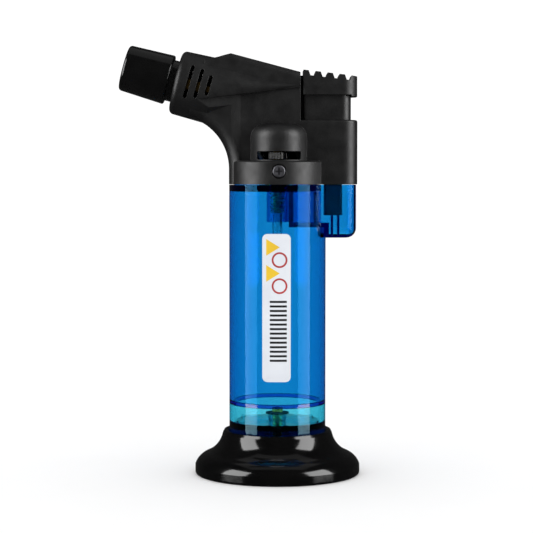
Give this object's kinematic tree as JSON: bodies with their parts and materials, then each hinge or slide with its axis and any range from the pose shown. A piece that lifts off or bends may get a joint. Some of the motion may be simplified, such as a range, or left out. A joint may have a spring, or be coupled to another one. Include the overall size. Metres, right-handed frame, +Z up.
{
  "type": "butane torch",
  "caption": "Hand-held butane torch with a see-through tank, sprung thumb button, piezo igniter, angled nozzle, flame adjuster and bell-shaped foot.",
  "frame": {"origin": "centre of the foot's underside, on the tank's axis", "axes": "+Z up along the tank's axis, -X towards the nozzle, +X towards the thumb button; left is -Y"},
  "size_m": [0.0813, 0.0558, 0.1446],
  "materials": {
    "gloss_black_plastic": "gloss",
    "matt_black_plastic": "matt, fine spark-eroded texture",
    "clear_cyan_plastic": "clear tinted gloss",
    "deep_blue_plastic": "gloss",
    "clear_blue_plastic": "clear tinted gloss",
    "dark_plastic": "satin",
    "brass": "machined",
    "steel": "drawn",
    "black_steel": "black oxide",
    "black_rubber": "matt",
    "white_ceramic": "glazed",
    "clear_hose": "translucent",
    "lead_insulation": "satin",
    "white_paper": "printed film"
  },
  "bodies": {
    "torch_body": {"foot": "gloss_black_plastic", "tank_bottom_cap": "clear_cyan_plastic", "tank_seal_ring": "deep_blue_plastic", "filler_valve_body": "brass", "filler_washer": "black_rubber", "filler_seal": "black_rubber", "tank_shell": "clear_blue_plastic", "wick_tube": "clear_hose", "outlet_valve_body": "brass", "valve_gland": "brass", "lever_pin": "steel", "piezo_case": "dark_plastic", "piezo_crystal": "white_ceramic", "housing_left": "matt_black_plastic", "housing_right": "matt_black_plastic", "collar_screws": "black_steel", "nozzle_guard": "gloss_black_plastic", "burner_tube": "brass", "flame_disc": "brass", "jet_holder": "brass", "gas_jet": "brass", "electrode": "steel", "electrode_insulator": "white_ceramic", "gas_hose": "clear_hose", "ignition_lead": "lead_insulation", "label": "white_paper"},
    "thumb_button": {"thumb_button": "matt_black_plastic", "piezo_plunger": "dark_plastic", "piezo_spring": "steel"},
    "piezo_hammer": {"piezo_hammer": "steel"},
    "valve_lever": {"valve_lever": "dark_plastic"},
    "valve_stem": {"valve_stem": "brass", "valve_seal": "black_rubber", "valve_spring": "steel"},
    "flame_adjuster": {"flame_adjuster": "gloss_black_plastic"},
    "filler_stem": {"filler_stem": "steel", "filler_spring": "steel"}
  },
  "joints": [
    {"name": "thumb_button_slide", "type": "slide", "parent": "torch_body", "child": "thumb_button", "axis": [0, 0, -1], "range_m": [0, 0.0075], "stiffness_N_per_m": 400, "springref_m": -0.01, "deforming": ["piezo_spring"]},
    {"name": "piezo_hammer_slide", "type": "slide", "parent": "torch_body", "child": "piezo_hammer", "axis": [0, 0, -1], "range_m": [0, 0.003]},
    {"name": "valve_lever_hinge", "type": "hinge", "parent": "torch_body", "child": "valve_lever", "pos_m": [0.0052, 0, 0.11235], "axis": [0, 1, 0], "range_deg": [0, 14.4]},
    {"name": "valve_stem_slide", "type": "slide", "parent": "torch_body", "child": "valve_stem", "axis": [0, 0, 1], "range_m": [0, 0.00131], "stiffness_N_per_m": 300, "springref_m": -0.002, "deforming": ["valve_spring"]},
    {"name": "flame_adjuster_turn", "type": "hinge", "parent": "torch_body", "child": "flame_adjuster", "pos_m": [0, 0, 0.1065], "axis": [0, 0, 1], "range_deg": [-16, 16]},
    {"name": "filler_stem_slide", "type": "slide", "parent": "torch_body", "child": "filler_stem", "axis": [0, 0, 1], "range_m": [0, 0.0015], "stiffness_N_per_m": 300, "springref_m": -0.001, "deforming": ["filler_spring"]}
  ],
  "couplings": [
    {"joint": "valve_lever_hinge", "follows": "thumb_button_slide", "rad_per_m": 33.333},
    {"joint": "valve_stem_slide", "follows": "thumb_button_slide", "ratio": 0.17333}
  ]
}
